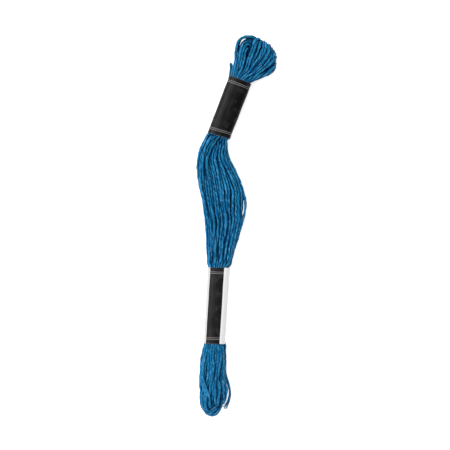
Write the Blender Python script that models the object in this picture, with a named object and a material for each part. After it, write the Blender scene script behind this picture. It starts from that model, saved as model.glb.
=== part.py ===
"""Skein of six-strand embroidery floss, held by two paper bands, lying on a flat surface.

Run with: blender --background --python part.py
Lengths in the tables are millimetres and are scaled to metres where meshes are made. +Z is up and
z = 0 is the surface under the skein. +Y runs along the skein, from the tail to the head.
"""

import math
from collections import namedtuple

import bmesh
import bpy
from mathutils import Vector

MM = 0.001

# Driving dimensions, in millimetres.
FLOSS_DIAMETER = 1.1  # one turn of six-strand floss
SHORT_END_DIAMETER = 0.9  # the same floss, pulled thin where it is cut
PAPER = 0.25  # wall of a paper band
FLAP = 0.25  # the band's glued end, which lies over its start on the underside
FLAP_REACH = (-0.5, 0.6)  # where the glued end lies, as shares of the half width
GAP = 0.3  # between pieces that touch
SIDE_SHARE = 0.45  # height of the skein's widest line, as a share of its height
GROOVE = 0.5  # depth of the grooves between the locks of floss

# How a cross-section is rounded: a superellipse, the higher the squarer.
CROWN_POWER = 2.4
UNDERSIDE_POWER = 3.6
UNDERSIDE_FLAT = 1.05  # over 1, so that the middle of the underside is quite flat
EVEN_SHARE = 0.6  # how evenly the locks are spread, where 0 crowds them at the sides
SMOOTH_BELOW = (0.35, 0.65)  # where the underside's pressed, smooth middle turns to grooves

# Widths of the locks of floss from the left side to the right, as shares of an even lock.
LOCK_WIDTHS = (0.9, 1.1, 0.85, 1.2, 0.95, 1.05, 1.15, 0.8, 1.1, 0.9, 1.2, 0.85, 1.0, 0.95)
COLUMNS_PER_LOCK = 3

# The skein's outline from above, row by row from the tail to the head. A row runs from the left
# side to the right. bow pushes its middle along the skein, lift is the underside's height over
# the surface, groove is a share of GROOVE, slide shifts the locks sideways as a share of the
# half width, and steps is the number of mesh rows up to the next one.
LIFT_IN_BAND = PAPER + FLAP + GAP
Section = namedtuple("Section", "name left right bow height lift groove slide steps")
SECTIONS = (
    Section("tail end", (-15.2, -78.6), (-7.0, -78.4), -4.0, 0.0, 1.7, 0.8, -0.25, 1),
    Section("tail turn", (-15.5, -77.6), (-6.2, -77.2), -3.8, 3.1, 0.3, 1.0, -0.24, 1),
    Section("tail foot", (-15.9, -76.0), (-5.6, -75.4), -3.0, 4.5, 0.0, 1.0, -0.22, 2),
    Section("tail low", (-16.2, -71.4), (-5.3, -70.9), -1.7, 5.2, 0.0, 1.0, -0.18, 2),
    Section("tail middle", (-16.2, -66.5), (-5.3, -66.0), -0.8, 5.4, 0.0, 1.0, -0.10, 3),
    Section("tail high", (-15.6, -59.5), (-5.7, -59.3), -0.2, 5.4, 0.0, 1.0, 0.0, 3),
    Section("tail neck", (-14.8, -52.2), (-6.0, -52.2), 0.0, 5.2, 0.4, 0.8, 0.05, 1),
    Section("lower band foot", (-13.7, -50.9), (-5.8, -51.1), 0.0, 4.7, LIFT_IN_BAND, 0.0, 0.05, 4),
    Section("lower band top", (-11.8, -17.5), (-3.6, -17.7), 0.0, 4.7, LIFT_IN_BAND, 0.0, 0.0, 1),
    Section("belly foot", (-12.5, -16.3), (-2.6, -16.4), 0.0, 5.2, 0.4, 0.8, 0.0, 3),
    Section("belly low", (-13.0, -10.4), (-0.7, -10.4), 0.3, 5.2, 0.0, 1.0, -0.04, 4),
    Section("belly middle", (-13.6, 0.0), (2.5, 0.0), 0.3, 4.6, 0.0, 1.0, -0.10, 4),
    Section("belly full", (-14.8, 10.4), (4.5, 9.0), 0.2, 4.3, 0.0, 1.0, -0.14, 4),
    Section("belly high", (-16.9, 20.6), (2.5, 17.6), 0.2, 4.6, 0.0, 1.0, -0.10, 3),
    Section("belly shoulder", (-17.4, 28.0), (-0.7, 24.8), 0.4, 5.0, 0.0, 1.0, 0.0, 3),
    Section("belly neck", (-15.4, 34.9), (-3.8, 31.6), 0.4, 5.3, 0.1, 1.0, 0.12, 2),
    Section("belly top", (-12.9, 38.7), (-3.8, 36.2), 0.2, 5.2, 0.5, 0.8, 0.20, 1),
    Section("upper band foot", (-12.0, 39.8), (-3.8, 37.5), 0.0, 4.9, LIFT_IN_BAND, 0.0, 0.20, 4),
    Section("upper band top", (-2.4, 65.0), (5.7, 61.8), 0.0, 4.9, LIFT_IN_BAND, 0.0, 0.0, 1),
    Section("head neck", (-2.0, 66.6), (7.8, 62.6), 0.5, 5.1, 0.4, 0.8, 0.0, 2),
    Section("head low", (-1.3, 69.6), (12.2, 64.6), 1.5, 5.0, 0.0, 1.0, 0.04, 2),
    Section("head middle", (-0.9, 73.2), (15.1, 66.1), 3.2, 4.7, 0.0, 1.0, 0.08, 2),
    Section("head high", (-0.5, 76.4), (16.5, 67.7), 5.1, 4.3, 0.0, 1.0, 0.10, 2),
    Section("head turn", (0.0, 78.5), (16.8, 69.2), 6.0, 3.2, 0.3, 1.0, 0.10, 1),
    Section("head end", (0.4, 79.7), (16.8, 70.1), 6.3, 0.0, 1.6, 0.8, 0.10, 0),
)

# The dark clefts where the head's loops part into groups, by the lock on their right side.
HEAD_CLEFTS = ((5, 1.3), (7, 0.7))
CLEFT_ROWS = ("head low", "head high")

# Loose ends: points that the floss runs through, chosen by hand, x, y and height of its middle.
LOOSE_END = (
    (-5.08, -51.3, 1.60),
    (-5.00, -53.5, 1.00),
    (-4.95, -56.5, 0.60),
    (-4.97, -60.0, 0.56),
    (-4.80, -63.2, 0.56),
    (-4.25, -66.0, 0.56),
    (-3.35, -69.0, 0.56),
    (-2.80, -72.0, 0.56),
    (-3.05, -74.8, 0.56),
    (-3.86, -77.2, 0.56),
    (-4.80, -79.0, 0.56),
)
SHORT_END = (
    (-2.95, 65.40, 1.40),
    (-2.75, 67.00, 0.75),
    (-2.50, 69.20, 0.48),
    (-2.10, 71.40, 0.48),
)

BAND_STEPS = 15  # facets over the top of a band, and again under it

# The printed stripe of the lower band, as shares of the skein's half width from its middle.
STRIPE = (-0.85, 0.51)

FLOSS_BLUE = (0.012, 0.105, 0.235)
BAND_BLACK = (0.018, 0.016, 0.017)
BAND_WHITE = (0.82, 0.81, 0.82)


def clear_scene():
    for obj in list(bpy.data.objects):
        bpy.data.objects.remove(obj)


def make_material(name, colour, roughness):
    material = bpy.data.materials.new(name)
    material.use_nodes = True
    shader = material.node_tree.nodes["Principled BSDF"]
    shader.inputs["Base Color"].default_value = (*colour, 1.0)
    shader.inputs["Roughness"].default_value = roughness
    shader.inputs["Metallic"].default_value = 0.0
    return material


def monotone_curve(at, values, straight=()):
    """A smooth function through the values that never overshoots them (Fritsch and Carlson).

    straight lists the spans in which it is a straight line.
    """
    spans = [b - a for a, b in zip(at, at[1:])]
    slopes = [(b - a) / span for a, b, span in zip(values, values[1:], spans)]
    tangents = [slopes[0]]
    for before, after, span_a, span_b in zip(slopes, slopes[1:], spans, spans[1:]):
        if before * after <= 0.0:
            tangents.append(0.0)
            continue
        weight_a, weight_b = 2 * span_b + span_a, span_b + 2 * span_a
        tangents.append((weight_a + weight_b) / (weight_a / before + weight_b / after))
    tangents.append(slopes[-1])
    for i in straight:
        tangents[i] = tangents[i + 1] = slopes[i]

    def value(x):
        i = max(0, min(len(spans) - 1, sum(x >= a for a in at[:-1]) - 1))
        t = (x - at[i]) / spans[i]
        rise = t * t * (3 - 2 * t)
        start_pull = t * (1 - t) ** 2 * tangents[i]
        end_pull = t * t * (t - 1) * tangents[i + 1]
        return values[i] * (1 - rise) + values[i + 1] * rise + spans[i] * (start_pull + end_pull)

    return value


def mesh_rows():
    """The table's rows with smooth rows between them, each a Section."""
    middles = [(Vector(s.left) + Vector(s.right)) / 2 + Vector((0, s.bow)) for s in SECTIONS]
    at = [0.0]
    for a, b in zip(middles, middles[1:]):
        at.append(at[-1] + (b - a).length)

    in_band = [i for i, s in enumerate(SECTIONS) if s.name.endswith("band foot")]

    def curve(pick):
        return monotone_curve(at, [pick(s) for s in SECTIONS], in_band)

    left = curve(lambda s: s.left[0]), curve(lambda s: s.left[1])
    right = curve(lambda s: s.right[0]), curve(lambda s: s.right[1])
    plain = {name: curve(lambda s, name=name: getattr(s, name))
             for name in ("bow", "height", "lift", "groove", "slide")}
    rows = []
    for i, section in enumerate(SECTIONS):
        for k in range(max(1, section.steps)):
            x = at[i] + (at[i + 1] - at[i]) * k / section.steps if k else at[i]
            rows.append(Section(
                name=section.name,
                left=tuple(f(x) for f in left),
                right=tuple(f(x) for f in right),
                steps=0,
                **{name: f(x) for name, f in plain.items()},
            ))
    return rows


def superellipse(u, power):
    return max(0.0, 1.0 - abs(u) ** power) ** (1.0 / power)


def smoothstep(low, high, x):
    t = max(0.0, min(1.0, (x - low) / (high - low)))
    return t * t * (3 - 2 * t)


def row_point(row, u, top):
    """The point of a row at u, from -1 at the left side to 1 at the right, on the top or the underside."""
    left, right = Vector(row.left), Vector(row.right)
    across = (right - left) / 2
    along = Vector((-across.y, across.x)).normalized()
    place = left + across * (1 + u) + along * row.bow * superellipse(u, 2)
    side = row.lift + SIDE_SHARE * row.height
    if top:
        z = side + (row.lift + row.height - side) * superellipse(u, CROWN_POWER)
    else:
        drop = min(1.0, UNDERSIDE_FLAT * superellipse(u, UNDERSIDE_POWER))
        z = side - (side - row.lift) * drop
    return Vector((place.x, place.y, z))


def lock_columns():
    """(place across the skein, groove depth as a share, lock) of each mesh column between the sides."""
    total = sum(LOCK_WIDTHS)
    columns, start = [], 0.0
    for lock, width in enumerate(LOCK_WIDTHS):
        for k in range(COLUMNS_PER_LOCK):
            t = (start + width * k / COLUMNS_PER_LOCK) / total
            crowded, even = -math.cos(math.pi * t), 2 * t - 1
            u = crowded + (even - crowded) * EVEN_SHARE
            columns.append((u, 1.0 if k == 0 else 0.0, lock))
        start += width
    return columns[1:]


def in_rows(rows, names):
    """For each row, how far it is inside the stretch between the two named rows, from 0 to 1."""
    first = next(i for i, row in enumerate(rows) if row.name == names[0])
    last = next(i for i, row in enumerate(rows) if row.name == names[1])
    half = (last - first) / 2
    return [smoothstep(0, 1, 1.5 - abs(i - first - half) / half) for i in range(len(rows))]


def make_skein(material):
    """The wound floss: one closed skin whose grooves run over both ends, as the turns do."""
    rows = mesh_rows()
    columns = lock_columns()
    clefts = dict(HEAD_CLEFTS)
    cleft_share = in_rows(rows, CLEFT_ROWS)
    bm = bmesh.new()
    depth = {}

    def add(row, u, top, groove):
        vertex = bm.verts.new(row_point(row, u, top) * MM)
        depth[vertex] = groove * MM
        return vertex

    grids = {}
    ends = (0, len(rows) - 1)
    for top in (True, False):
        grid = []
        for i, row in enumerate(rows):
            if not top and i in ends:
                grid.append(grids[True][i])
                continue
            sides = (grids[True][i][0], grids[True][i][-1]) if not top else (
                add(row, -1.0, True, 0.0), add(row, 1.0, True, 0.0))
            line = [sides[0]]
            for u, groove, lock in columns:
                slid = u + row.slide * (1 if top else -1) * (1 - u * u)
                cut = GROOVE * row.groove * groove
                if top:
                    cut += groove * clefts.get(lock, 0.0) * cleft_share[i]
                else:
                    cut *= smoothstep(*SMOOTH_BELOW, abs(slid))
                line.append(add(row, slid, top, cut))
            line.append(sides[1])
            grid.append(line)
        grids[top] = grid
    for top, grid in grids.items():
        for lower, upper in zip(grid, grid[1:]):
            for j in range(len(lower) - 1):
                corners = (lower[j], lower[j + 1], upper[j + 1], upper[j])
                bm.faces.new(corners if top else corners[::-1])
    bm.normal_update()
    for vertex, cut in depth.items():
        if cut:
            vertex.co -= vertex.normal * cut
    return finish_mesh("floss_skein", bm, [material])


def band_places(stripe):
    """Places round a band's section, as (u, on the top), with one at each edge of the stripe."""
    even = [-math.cos(math.pi * k / BAND_STEPS) for k in range(BAND_STEPS + 1)]
    clear = 1.0 / BAND_STEPS
    over = sorted([u for u in even if all(abs(u - edge) > clear / 2 for edge in stripe)] + list(stripe))
    return [(u, True) for u in over] + [(u, False) for u in reversed(even[1:-1])]


def band_ring(bm, row, places, shift):
    """The inner and outer vertices of one end of a band, round a row of the skein."""
    points = [row_point(row, u, top) for u, top in places]
    across = (Vector(row.right) - Vector(row.left)).normalized()
    inner, outer = [], []
    for k, (point, (u, top)) in enumerate(zip(points, places)):
        tangent = points[(k + 1) % len(points)] - points[k - 1]
        flat = tangent.x * across.x + tangent.y * across.y
        normal = Vector((-tangent.z * across.x, -tangent.z * across.y, flat)).normalized()
        flap = FLAP if not top and FLAP_REACH[0] <= u <= FLAP_REACH[1] else 0.0
        inner.append(bm.verts.new((point + shift + normal * GAP) * MM))
        outer.append(bm.verts.new((point + shift + normal * (GAP + PAPER + flap)) * MM))
    return inner, outer


def make_band(name, foot_name, top_name, materials, stripe=()):
    """A paper sleeve round the skein, with its end glued over its start on the underside."""
    rows = {s.name: s for s in SECTIONS}
    foot, top = rows[foot_name], rows[top_name]
    along = Vector((top.left[0] - foot.left[0], top.left[1] - foot.left[1], 0.0)).normalized()
    places = band_places(stripe)
    bm = bmesh.new()
    inner_a, outer_a = band_ring(bm, foot, places, along * GAP)
    inner_b, outer_b = band_ring(bm, top, places, -along * GAP)
    for k, (u, on_top) in enumerate(places):
        n = (k + 1) % len(places)
        skin = bm.faces.new((outer_a[k], outer_b[k], outer_b[n], outer_a[n]))
        bm.faces.new((inner_a[n], inner_b[n], inner_b[k], inner_a[k]))
        bm.faces.new((inner_a[k], outer_a[k], outer_a[n], inner_a[n]))
        bm.faces.new((outer_b[k], inner_b[k], inner_b[n], outer_b[n]))
        if stripe and on_top and stripe[0] <= u < stripe[1]:
            skin.material_index = 1
    return finish_mesh(name, bm, materials)


def make_cord(name, route, diameter, material):
    """A loose end of floss: a round tube on a smooth curve through the route's points."""
    points = [Vector(p) for p in route]
    at = [0.0]
    for a, b in zip(points, points[1:]):
        at.append(at[-1] + (b - a).length)
    smooth = [monotone_curve(at, [p[k] for p in points]) for k in range(3)]
    steps = math.ceil(at[-1] / (2 * diameter))
    curve = bpy.data.curves.new(name, "CURVE")
    curve.dimensions = "3D"
    curve.bevel_depth = diameter / 2 * MM
    curve.bevel_resolution = 2
    curve.use_fill_caps = True
    spline = curve.splines.new("POLY")
    spline.points.add(steps)
    for k, point in enumerate(spline.points):
        x = at[-1] * k / steps
        point.co = (*(f(x) * MM for f in smooth), 1.0)
    curve.materials.append(material)
    obj = bpy.data.objects.new(name, curve)
    bpy.context.scene.collection.objects.link(obj)
    return obj


def finish_mesh(name, bm, materials):
    mesh = bpy.data.meshes.new(name)
    bmesh.ops.recalc_face_normals(bm, faces=bm.faces)
    bm.to_mesh(mesh)
    bm.free()
    for material in materials:
        mesh.materials.append(material)
    mesh.shade_smooth()
    mesh.set_sharp_from_angle(angle=math.radians(40))
    obj = bpy.data.objects.new(name, mesh)
    bpy.context.scene.collection.objects.link(obj)
    return obj


def main():
    clear_scene()
    floss = make_material("floss", FLOSS_BLUE, 0.55)
    black = make_material("black_paper", BAND_BLACK, 0.5)
    white = make_material("white_paper", BAND_WHITE, 0.6)
    make_skein(floss)
    make_band("upper_band", "upper band foot", "upper band top", [black])
    make_band("lower_band", "lower band foot", "lower band top", [white, black], STRIPE)
    make_cord("loose_end", LOOSE_END, FLOSS_DIAMETER, floss)
    make_cord("short_end", SHORT_END, SHORT_END_DIAMETER, floss)


main()
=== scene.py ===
"""Looks of the skein of embroidery floss: every turn of floss, its cut ends and its paper bands.

The floss is wound in 24 turns, so 49 runs of it lie side by side in the belly, 24 loops make the
head and 24 the tail. Each is laid along a home path, and then all are pushed apart until they
rest on and beside each other. Lengths are millimetres, and turn to metres where a mesh is made.
"""

import math
from collections import namedtuple

import bpy
import numpy as np
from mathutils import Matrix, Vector
from mathutils.bvhtree import BVHTree


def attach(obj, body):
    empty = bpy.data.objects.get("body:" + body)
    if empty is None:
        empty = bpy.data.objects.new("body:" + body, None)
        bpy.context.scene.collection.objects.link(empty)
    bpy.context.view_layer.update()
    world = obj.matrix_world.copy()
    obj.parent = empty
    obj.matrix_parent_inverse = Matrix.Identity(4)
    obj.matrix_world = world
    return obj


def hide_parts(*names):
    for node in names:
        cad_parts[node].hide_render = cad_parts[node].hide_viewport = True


MM = 0.001
UP = np.array([0.0, 0.0, 1.0])
SEED = 7

# The section of a yarn: plies twisted round each other once every twist millimetres, with grooves
# between them. It lies wide times as wide and flat times as thick as a round one, and both vary.
Yarn = namedtuple("Yarn", "radius plies sides groove twist wide flat vary")
FLOSS = Yarn(radius=0.57, plies=6, sides=24, groove=0.38, twist=14.0, wide=1.03, flat=0.97, vary=0.10)
PLY = Yarn(radius=0.23, plies=2, sides=8, groove=0.25, twist=1.7, wide=1.0, flat=1.0, vary=0.0)

# How close the middles of two runs may come, halved
RUN_RADIUS = 0.52
RUN_RADIUS_IN_BAND = 0.455
SCALE_IN_BAND = 0.8  # the size of a run's section there
BAND_CORNERS = 2.6  # how square the room in a band is, where 2 is an ellipse

POINT_STEP = 0.62  # between the points that are pushed apart
NEIGHBOURS = 4  # how many of them along a run don't push each other
RING_STEP = 0.45  # between the rings of the finished mesh
IN_BAND = 1.5  # how far inside the bands the free part of a run starts

# Runs across the belly, from the bottom layer to the top one
LAYERS = (16, 16, 17)
BELLY_LAYER = 1.18  # height from one layer to the next
BELLY_SLIDE = (0.0, -0.08, -0.14, -0.08, 0.10)  # of the top layer to the side, from foot to top
BELLY_WANDER = ((0.05, 0.8), (0.035, 1.7), (0.022, 3.1), (0.012, 5.3))  # sizes and waves, to the side
BELLY_RIPPLE = (0.30, 1.5)  # size and waves, up and down, in the top layer
BUNCH, UNDER_BUNCH = (2, 3, 4, 5), (6, 7, 8, 9)  # runs of the top layer that cross below the upper band
BUNCH_AT, BUNCH_RISE = (0.92, 0.06), 1.1  # where they cross, in shares of the belly, and how high
# Spare room beside the runs just outside the bands: where, in shares of the belly, and how wide
NECK_AT, NECK_SPARE = (0.957, 0.032), 1.9  # at the left only
FOOT_AT, FOOT_SPARE = (0.045, 0.03), 0.9
# The run at the right that stands off the others: the middle of the gap, its width and its length halved
LOOSE_RUN_MIDDLE, LOOSE_RUN_GAP, LOOSE_RUN_REACH = 8.9, 1.28, 4.9

# Loops of the head that turn over in the plane of the skein, from the outermost inwards. The
# first are on top, and each list runs from the band, round and back under the others.
HEAD_ARCS = (
    ((-1.3, 68, 3), (-0.5, 72, 3), (-0.1, 76, 3.1), (0.45, 79, 3.2), (1.65, 81.05, 3.2), (3.2, 82, 3.1),
     (5.4, 82.25, 2.7), (7.2, 82, 2.2), (8.4, 80.9, 1.3), (8.9, 78.8, 0.6), (7.9, 74, 0.6), (5.5, 69, 0.6)),
    ((-0.5, 68, 3.5), (0.3, 72.3, 3.2), (0.65, 76, 2.4), (0.9, 78.6, 2), (1.8, 80.5, 1.9), (3.1, 81.6, 1.9),
     (5, 82, 1.7), (6.9, 81.7, 1.4), (7.8, 80, 1), (7.7, 77.5, 0.6), (6.4, 73.5, 0.6), (4.8, 69, 0.6)),
    ((0.45, 68, 2.4), (1.25, 72.3, 2.4), (1.6, 75.8, 2.3), (2.25, 78.1, 2.1), (2.97, 79.42, 1.9),
     (3.92, 80.22, 1.8), (5, 80.75, 1.6), (6.2, 80.3, 1.2), (6.8, 79, 0.7), (6.3, 75.5, 0.55),
     (5.2, 71.5, 0.55), (4.2, 68.5, 0.6)),
    ((0.45, 68, 3.6), (1.3, 72.3, 3.6), (1.75, 75.6, 3.5), (2.3, 77.6, 3.4), (3.3, 78.95, 3.1),
     (4.5, 79.6, 2.7), (5.6, 79.5, 2.1), (6.3, 78.2, 1.3), (6.2, 75.6, 0.8), (5.6, 72, 0.7),
     (4.6, 68.5, 0.7)),
    ((1.2, 68, 3.8), (2.1, 72, 3.8), (2.65, 74.8, 3.6), (3.15, 76.7, 3.4), (4, 77.9, 3), (5, 78.5, 2.5),
     (5.9, 78.2, 1.8), (6.1, 76.5, 1.1), (5.6, 73, 0.9), (4.2, 69, 1)),
    ((1.9, 68, 3.9), (3, 71.8, 3.8), (3.5, 74.3, 3.6), (4.05, 75.9, 3.2), (4.8, 76.8, 2.6), (5.5, 76.6, 1.9),
     (5.6, 75, 1.3), (5.1, 72.4, 1.1), (3.6, 69, 1.4)),
    ((-1, 68, 1.8), (-0.1, 72.3, 1.6), (0.7, 75.6, 1), (1.9, 77.2, 0.6), (3.3, 78.2, 0.55), (4.8, 78.5, 0.55),
     (5.9, 77.6, 0.55), (5.6, 74.5, 0.55), (4.2, 70.5, 0.55), (2.8, 68, 0.6)),
    ((0.1, 68, 1.6), (1.4, 72, 1.5), (1.9, 75.8, 1.4), (2.7, 77.8, 1.2), (4, 79, 0.9), (5.5, 79, 0.6),
     (6, 77, 0.55), (3.9, 71, 0.55), (1.9, 67.5, 0.6)),
    ((1, 68, 2.4), (2.5, 72, 2.4), (3.3, 74.8, 2), (4.2, 77.2, 1.4), (5.2, 78, 0.8), (5.7, 76.2, 0.55),
     (4.1, 73, 0.55), (2.1, 69.3, 0.55), (1.1, 67.5, 0.6)),
    ((3.9, 67.5, 3.7), (5.1, 71.5, 3.6), (6.5, 75.4, 3.5), (7.45, 78.4, 3.3), (8.25, 80.2, 3),
     (9.5, 80.9, 2.3), (10.2, 80.2, 1.2), (8.8, 79.8, 0.6), (6.6, 79.9, 0.55), (4.9, 79.6, 0.55),
     (3.5, 78.6, 0.6), (2.8, 76.5, 0.55), (2.6, 73, 0.55), (2.4, 69, 0.6)),
    ((4.5, 67.3, 3.8), (5.9, 71, 3.8), (7.2, 74.6, 3.6), (8, 77, 3.4), (8.75, 79.1, 3), (9.6, 79.6, 2.3),
     (10.5, 78.8, 1.3), (10.7, 77.2, 0.6), (10.2, 75, 0.6), (7.1, 70.2, 0.7), (4.9, 67, 0.9)),
    ((5, 66.9, 3.7), (6.5, 70, 3.6), (8, 72.9, 3.3), (9.1, 75, 2.9), (9.7, 77.1, 2.6), (10.2, 79.2, 2.3),
     (10.8, 80.1, 1.6), (11, 78.4, 0.7), (9.7, 74.4, 0.7), (8.3, 71.4, 0.8), (5.7, 67.8, 0.9)),
)
# Where the slots of those loops are in the band: across the band, and the heights out and back. The
# slot back lies BACK_BESIDE farther across.
BACK_BESIDE = 0.6
HEAD_ARC_SLOTS = (
    (-3.9, 0.8, -1.6), (-3.1, 2, -1.6), (-2.3, 0.8, -2.2), (-2.3, 2.2, -1.6), (-1.5, 2.2, -0.8),
    (-0.7, 2.2, -0.8), (-3.6, -0.4, -2), (-2.8, -0.4, -2.2), (-1.6, 0.8, -2.2), (0.3, 2.2, -2),
    (0.9, 1.6, -1.4), (0.7, 0.6, -1),
)

# The other loops of the head turn down over its rim. They fan out along these guides, from the one
# at the cleft round to the lowest one, and there are HEAD_FAN of them.
HEAD_GUIDES = (
    ((3.9, 64.6), (6.3, 68.1), (8.8, 71.8), (10.7, 74.7), (11.6, 77.4), (11.9, 80)),
    ((5, 63.9), (8, 67.4), (11.1, 71), (13.1, 74.3), (13.9, 76.9), (13.7, 78.4)),
    ((6, 63.2), (9.2, 66), (12.4, 69), (14.9, 71.8), (16, 73.9), (16.3, 75.3)),
    ((6.5, 62.8), (9.3, 64.7), (12.5, 66.9), (14.9, 68.9), (16.2, 70.3), (16.7, 71.1)),
    ((6.8, 62.4), (9.2, 63.5), (12, 64.8), (14.2, 65.9), (15.6, 66.9), (16.2, 67.5)),
)
HEAD_FAN = 12
GUIDE_POINTS = 9  # of each leg of a fan loop
FAN_HEIGHTS = ((3.8, 3.7, 3.1, 2.5), (0.7, 0.6, 1.2, 1.8))  # of a loop's two legs, from band to rim
FAN_CORNER = 0.45  # share of the fan whose slots lie along the band's top, before they turn down its side
FAN_RIM = (0.93, 0.13, 0.12)  # size of a fan loop's section, what its rim adds, and the rim's share of it
CALM_ARCS = 10  # the first loops of the head, which hardly stray
HEAD_WANDER, TAIL_WANDER = (0.05, 0.14), 0.34  # how far they stray: the head's calm and others, the tail's
TEAL_ABOVE = (79.8, 81.0)  # y from which the outermost loop is greener

# Loops of the tail that turn in the plane of the skein, from the outermost inwards. The second to
# the sixth cross over each other on their way down.
TAIL_ARCS = (
    ((-14.8, -56, 3), (-15.5, -63, 2.7), (-15.55, -70, 2.6), (-15.3, -75.3, 2.5), (-14.6, -78.3, 2.3),
     (-13.5, -80.2, 2.1), (-12.1, -81.4, 1.9), (-10.5, -81.8, 1.7), (-9, -81.2, 1.6), (-7.8, -79.8, 1.4),
     (-7, -77.6, 1), (-6.7, -74.5, 0.6), (-7, -66, 0.6), (-7.4, -57, 0.6)),
    ((-13.9, -56, 4.1), (-14.9, -61.5, 4), (-15, -65, 4.2), (-14.3, -68.6, 4.8), (-13.5, -71.4, 5.2),
     (-13, -74.6, 5), (-13.2, -77.6, 4.2), (-12.6, -79.6, 3.5), (-11.4, -79.9, 3.1), (-10.1, -78.6, 2.9),
     (-8.9, -76.8, 2.3), (-8.2, -74.6, 1.4), (-8.2, -66, 0.7), (-8.4, -57, 0.7)),
    ((-12.9, -56, 4.6), (-14, -61, 4.4), (-14.2, -65.2, 4.5), (-13.4, -69, 5.2), (-12.6, -71.8, 5.5),
     (-12.1, -74.6, 5.1), (-12.4, -77, 4.4), (-12, -78.6, 3.8), (-11.2, -78.5, 3.4), (-10.3, -77.2, 3.1),
     (-9.5, -75.2, 2.5), (-9, -72, 1.5), (-9.2, -65, 0.8), (-9.2, -57, 0.8)),
    ((-11.9, -56, 4.8), (-11.9, -61, 5), (-12.4, -65.5, 4.8), (-13.7, -69.8, 4.2), (-14.4, -73.4, 3.8),
     (-14.3, -76.6, 3.6), (-13.5, -79.2, 3.1), (-12.2, -80.5, 2.8), (-10.9, -80.4, 2.6), (-9.6, -79, 2.4),
     (-8.5, -77.2, 1.9), (-7.8, -75, 1.2), (-8, -64, 0.8), (-9, -57, 0.8)),
    ((-11, -56, 4.9), (-10.8, -61.5, 5.1), (-11.4, -66, 5), (-12.5, -69.6, 4.4), (-13.4, -73, 4),
     (-13.5, -76, 3.9), (-12.8, -78.2, 3.4), (-11.7, -79, 3.1), (-10.6, -78, 2.9), (-9.7, -76.2, 2.5),
     (-9.2, -73.5, 1.6), (-9.9, -64, 0.8), (-10.6, -57, 0.8)),
    ((-10.1, -56, 4.9), (-9.7, -61.5, 5.1), (-10.2, -66.5, 5.2), (-11.5, -70.4, 5), (-12.6, -74, 4.7),
     (-12.6, -76.6, 4.1), (-11.9, -77.9, 3.5), (-11, -77.4, 3), (-10.5, -75.5, 2.4), (-10.9, -71, 1.6),
     (-11.8, -64, 0.7), (-11.8, -60, 0.7), (-11.6, -57, 0.8)),
    ((-14.6, -56, 1.7), (-15.3, -63, 1.6), (-15.4, -70, 1.5), (-15, -76, 1.3), (-14.1, -79.3, 1),
     (-12.6, -80.9, 0.7), (-10.6, -81, 0.55), (-8.7, -80, 0.55), (-7.6, -77.8, 0.55), (-7.9, -66, 1.6),
     (-8.4, -57, 1.6)),
    ((-13.6, -56, 3), (-14.4, -63, 2.8), (-14.5, -70, 2.7), (-14.2, -75, 2.4), (-13.2, -78.2, 2),
     (-11.9, -79.6, 1.6), (-10.6, -79.4, 1.3), (-9.6, -77.5, 1.2), (-9.2, -74.5, 1.4), (-9.4, -66, 1.7),
     (-9.3, -57, 1.7)),
    ((-12.8, -56, 4.2), (-13.4, -59.8, 4.3), (-13.5, -64, 3.9), (-13.4, -70, 3.3), (-13.2, -74.2, 2.9),
     (-12.5, -77, 2.5), (-11.5, -78.2, 2.1), (-10.5, -77.8, 1.8), (-10, -75.8, 1.8), (-10, -71, 1.7),
     (-10.3, -64, 1.7), (-10.2, -57, 1.7)),
    ((-11.6, -56, 3.8), (-12.1, -61, 4), (-12.2, -69, 4), (-12, -72.8, 3.9), (-12, -75.4, 2.7),
     (-11.3, -76.5, 2.3), (-10.7, -75.9, 2), (-10.8, -73, 1.8), (-11.2, -68, 1.7), (-11.4, -62, 1.7),
     (-11.2, -57, 1.7)),
    ((-10.6, -56, 3.8), (-10.9, -63, 3.9), (-11, -68, 4.2), (-11.2, -71.8, 4.2), (-11.8, -74.2, 3.2),
     (-12.4, -75.4, 2.1), (-12.7, -74.6, 1.4), (-12.8, -71, 0.8), (-12.9, -64, 0.6), (-12.8, -60, 0.6),
     (-12.5, -57, 0.6)),
    ((-9.7, -56, 3.8), (-9.8, -63, 3.8), (-10.2, -68, 3.6), (-11.2, -72, 3.1), (-12.6, -74.6, 2.3),
     (-13.5, -75.6, 1.4), (-13.9, -74, 0.7), (-14, -70, 0.6), (-14.1, -64, 0.6), (-13.9, -60, 0.6),
     (-13.5, -57, 0.6)),
)
TAIL_ARC_SLOTS = (
    (-3.9, 0.5, -2), (-3.2, 1.8, -2), (-2.4, 2.2, -2), (-1.6, 2.4, -2), (-0.8, 2.4, -2), (0, 2.4, -2),
    (-3.8, -0.6, -1.2), (-2.8, 0.7, -1.2), (-2, 1, -1.2), (-1.2, 1.2, -1.2), (-0.4, 1.2, -2), (0.3, 1.2, -2),
)
# The other loops of the tail turn down at its foot: x at the band and at the foot, y of the turn,
# the heights out and back, and how far they swing to the right above the foot
TAIL_TURNS = (
    (-9, -10.3, -76.4, 4.9, 0.6, 0), (-8.1, -9.3, -76.6, 4.9, 0.6, 0), (-7.2, -8, -77, 4.6, 0.6, 0),
    (-6.2, -6.1, -78, 3.7, 0.7, 0.3), (-8.8, -9.6, -76.2, 3.7, 1.6, 0), (-7.9, -8.3, -76.4, 3.7, 1.6, 0),
    (-7, -7, -77.6, 3.3, 1.6, 0), (-5.4, -4.7, -76.8, 2.6, 2, 0.9), (-9.2, -10.1, -75.6, 3.2, 1.9, 0),
    (-8.3, -8.8, -76, 3, 2, 0), (-7.4, -7.4, -76.9, 2.9, 2, 0), (-9.6, -10.9, -75.8, 4.1, 1.2, 0),
)
TAIL_LEVELS = (-56.0, -62.0, -68.0)  # y of their first points
TAIL_SPREAD = 1.05  # how much wider they lie than their slots
TAIL_MIDDLE = 2.8  # the height that belongs to the middle of the band

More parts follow.
